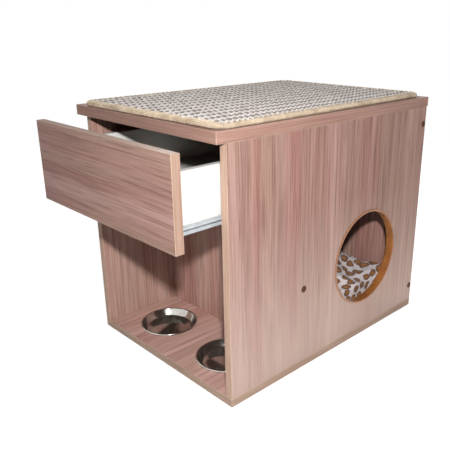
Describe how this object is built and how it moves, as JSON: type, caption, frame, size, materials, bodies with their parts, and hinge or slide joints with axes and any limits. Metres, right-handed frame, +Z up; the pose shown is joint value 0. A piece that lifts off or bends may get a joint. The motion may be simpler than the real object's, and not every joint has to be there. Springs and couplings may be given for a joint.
{
  "type": "cat house",
  "caption": "Boxed cat house with a drawer over an open feeding bay, a sleeping room with a round side entrance, a plush cushion and a woven mat on top.",
  "frame": {"origin": "middle of the cabinet's footprint, on the floor under the bottom panel", "axes": "+Z up, front with the drawer and the feeding bay towards -Y, round entrance on the +X side"},
  "size_m": [0.3912, 0.6245, 0.4626],
  "materials": {
    "wood_print": "satin wood-print foil on board",
    "white_board": "white melamine",
    "ring_plastic": "glossy orange-brown",
    "cap_plastic": "dark brown, smooth",
    "zinc": "bright zinc plate",
    "white_steel": "white enamel",
    "nylon": "off-white nylon",
    "stainless": "polished stainless steel",
    "mat_weave": "coarse woven loops",
    "binding_yarn": "serged cream yarn",
    "plush": "short plush with brown spots"
  },
  "bodies": {
    "cabinet": {"bottom_panel": "wood_print", "side_panel_left": "wood_print", "side_panel_right": "wood_print", "top_panel": "wood_print", "divider_panel": "wood_print", "back_panel": "wood_print", "entrance_ring": "ring_plastic", "screw_divider_left": "zinc", "cap_divider_left": "cap_plastic", "screw_back_left_lower": "zinc", "cap_back_left_lower": "cap_plastic", "screw_back_left_upper": "zinc", "cap_back_left_upper": "cap_plastic", "screw_bottom_left_front": "zinc", "cam_top_left_front": "zinc", "bolt_top_left_front": "zinc", "screw_cabinet_rail_left_front": "zinc", "screw_bottom_left_rear": "zinc", "cam_top_left_rear": "zinc", "bolt_top_left_rear": "zinc", "screw_cabinet_rail_left_rear": "zinc", "cabinet_rail_left": "white_steel", "screw_divider_right": "zinc", "cap_divider_right": "cap_plastic", "screw_back_right_lower": "zinc", "cap_back_right_lower": "cap_plastic", "screw_back_right_upper": "zinc", "cap_back_right_upper": "cap_plastic", "screw_bottom_right_front": "zinc", "cam_top_right_front": "zinc", "bolt_top_right_front": "zinc", "screw_cabinet_rail_right_front": "zinc", "screw_bottom_right_rear": "zinc", "cam_top_right_rear": "zinc", "bolt_top_right_rear": "zinc", "screw_cabinet_rail_right_rear": "zinc", "cabinet_rail_right": "white_steel", "mat": "mat_weave", "mat_binding": "binding_yarn", "cushion": "plush"},
    "drawer": {"drawer_front": "wood_print", "drawer_side_left": "white_board", "drawer_side_right": "white_board", "drawer_back": "white_board", "drawer_bottom": "white_board", "drawer_rail_left": "white_steel", "drawer_rail_right": "white_steel", "screw_drawer_rail_left": "zinc", "screw_drawer_rail_right": "zinc", "cam_drawer_left": "zinc", "cam_drawer_right": "zinc", "bolt_drawer_left": "zinc", "bolt_drawer_right": "zinc"},
    "cabinet_roller_left": {"cabinet_roller_left": "nylon"},
    "drawer_roller_left": {"drawer_roller_left": "nylon"},
    "dish_left": {"dish_left": "stainless"},
    "cabinet_roller_right": {"cabinet_roller_right": "nylon"},
    "drawer_roller_right": {"drawer_roller_right": "nylon"},
    "dish_right": {"dish_right": "stainless"}
  },
  "joints": [
    {"name": "drawer_slide", "type": "slide", "parent": "cabinet", "child": "drawer", "axis": [0, -1, 0], "range_m": [-0.079, 0.255]},
    {"name": "cabinet_roller_left_turn", "type": "hinge", "parent": "cabinet", "child": "cabinet_roller_left", "pos_m": [-0.1719, -0.247, 0.312], "axis": [1, 0, 0], "range_deg": [-480, 1545]},
    {"name": "drawer_roller_left_turn", "type": "hinge", "parent": "drawer", "child": "drawer_roller_left", "pos_m": [-0.1719, 0.093, 0.312], "axis": [1, 0, 0], "range_deg": [-480, 1545]},
    {"name": "dish_left_lift", "type": "slide", "parent": "cabinet", "child": "dish_left", "axis": [0, 0, 1], "range_m": [0, 0.08]},
    {"name": "cabinet_roller_right_turn", "type": "hinge", "parent": "cabinet", "child": "cabinet_roller_right", "pos_m": [0.1719, -0.247, 0.312], "axis": [1, 0, 0], "range_deg": [-480, 1545]},
    {"name": "drawer_roller_right_turn", "type": "hinge", "parent": "drawer", "child": "drawer_roller_right", "pos_m": [0.1719, 0.093, 0.312], "axis": [1, 0, 0], "range_deg": [-480, 1545]},
    {"name": "dish_right_lift", "type": "slide", "parent": "cabinet", "child": "dish_right", "axis": [0, 0, 1], "range_m": [0, 0.08]}
  ],
  "couplings": [
    {"joint": "cabinet_roller_left_turn", "follows": "drawer_slide", "rad_per_m": 105.26},
    {"joint": "drawer_roller_left_turn", "follows": "drawer_slide", "rad_per_m": 105.26},
    {"joint": "cabinet_roller_right_turn", "follows": "drawer_slide", "rad_per_m": 105.26},
    {"joint": "drawer_roller_right_turn", "follows": "drawer_slide", "rad_per_m": 105.26}
  ]
}
